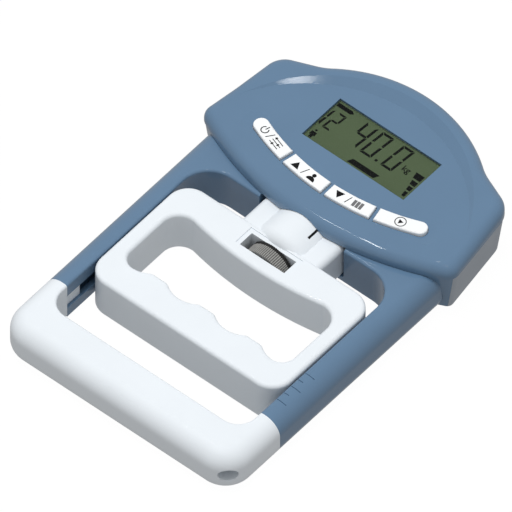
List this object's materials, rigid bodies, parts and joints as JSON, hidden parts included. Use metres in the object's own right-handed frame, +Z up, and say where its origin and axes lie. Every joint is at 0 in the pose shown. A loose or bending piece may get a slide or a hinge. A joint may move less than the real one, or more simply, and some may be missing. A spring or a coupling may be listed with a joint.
{
  "type": "hand dynamometer",
  "caption": "Digital grip-strength dynamometer: head with display and keys, U-shaped frame with palm bar, and a finger handle set by a knurled wheel.",
  "frame": {"origin": "centre of the footprint, on the surface that the instrument rests on, display up", "axes": "+Z up through the display face, +Y from the palm bar towards the head, +X to the right seen from the palm bar"},
  "size_m": [0.1276, 0.19, 0.0275],
  "materials": {
    "blue_plastic": "fine satin moulding, light blue",
    "white_plastic": "smooth moulding, white with a soft sheen",
    "grey_plastic": "fine satin moulding, light grey",
    "key_plastic": "gloss, white with printed black symbols",
    "window_clear": "clear acrylic",
    "display_green": "liquid-crystal glass with a green reflector, black segments",
    "holder_plastic": "black moulding",
    "contact_rubber": "layered conductive rubber",
    "board_green": "green solder mask",
    "chip_black": "black moulded package",
    "component_tan": "tan ceramic",
    "switch_steel": "tinned sheet steel",
    "plunger_black": "black moulding",
    "cell_aluminium": "machined aluminium",
    "gauge_foil": "amber film with a foil grid",
    "bracket_steel": "zinc-plated steel",
    "screw_steel": "zinc-plated screws",
    "battery_sleeve": "printed film sleeve, plain dark",
    "wheel_grey": "grey moulding with a fine straight knurl",
    "washer_nylon": "natural nylon"
  },
  "bodies": {
    "frame": {"frame": "blue_plastic", "outer_grip": "white_plastic", "grip_screws": "screw_steel", "head_cover": "blue_plastic", "rear_case": "grey_plastic", "case_screws": "screw_steel", "frame_screws": "screw_steel", "lcd_window": "window_clear", "lcd_panel": "display_green", "lcd_holder": "holder_plastic", "zebra_strips": "contact_rubber", "main_pcb": "board_green", "pcb_screws": "screw_steel", "microcontroller": "chip_black", "amplifier_chip": "chip_black", "surface_parts": "component_tan", "buzzer": "chip_black", "tact_switches": "switch_steel", "load_cell": "cell_aluminium", "strain_gauges": "gauge_foil", "load_cell_bracket": "bracket_steel", "bracket_screws": "screw_steel", "load_cell_bolt": "bracket_steel", "battery_contacts": "switch_steel", "battery_springs": "switch_steel", "battery_1": "battery_sleeve", "battery_2": "battery_sleeve"},
    "traction": {"coupling_nut": "bracket_steel"},
    "handle": {"handle_body": "white_plastic", "handle_plate": "white_plastic", "handle_screws": "screw_steel", "thrust_washer": "washer_nylon"},
    "wheel": {"adjusting_wheel": "wheel_grey", "adjusting_screw": "bracket_steel", "wheel_pin": "bracket_steel"},
    "power_key": {"key_power": "key_plastic", "switch_plunger_power": "plunger_black"},
    "up_key": {"key_up": "key_plastic", "switch_plunger_up": "plunger_black"},
    "down_key": {"key_down": "key_plastic", "switch_plunger_down": "plunger_black"},
    "start_key": {"key_start": "key_plastic", "switch_plunger_start": "plunger_black"},
    "door": {"battery_door": "grey_plastic"}
  },
  "joints": [
    {"name": "traction_slide", "type": "slide", "parent": "frame", "child": "traction", "axis": [0, 1, 0], "range_m": [-0.0005, 0], "stiffness_N_per_m": 200000},
    {"name": "handle_adjust", "type": "slide", "parent": "traction", "child": "handle", "axis": [0, 1, 0], "range_m": [-0.0085, 0.0085]},
    {"name": "wheel_spin", "type": "hinge", "parent": "handle", "child": "wheel", "pos_m": [0, -0.00195, 0.0106], "axis": [0, 1, 0], "range_deg": [-1532, 1532]},
    {"name": "power_key_press", "type": "slide", "parent": "frame", "child": "power_key", "axis": [0, 0, -1], "range_m": [0, 0.0006], "stiffness_N_per_m": 2500},
    {"name": "up_key_press", "type": "slide", "parent": "frame", "child": "up_key", "axis": [0, 0, -1], "range_m": [0, 0.0006], "stiffness_N_per_m": 2500},
    {"name": "down_key_press", "type": "slide", "parent": "frame", "child": "down_key", "axis": [0, 0, -1], "range_m": [0, 0.0006], "stiffness_N_per_m": 2500},
    {"name": "start_key_press", "type": "slide", "parent": "frame", "child": "start_key", "axis": [0, 0, -1], "range_m": [0, 0.0006], "stiffness_N_per_m": 2500},
    {"name": "battery_door_hinge", "type": "hinge", "parent": "frame", "child": "door", "pos_m": [0, 0.0629, 0.0012], "axis": [-1, 0, 0], "range_deg": [0, 60]}
  ],
  "couplings": [
    {"joint": "wheel_spin", "follows": "handle_adjust", "rad_per_m": 3141.6}
  ]
}
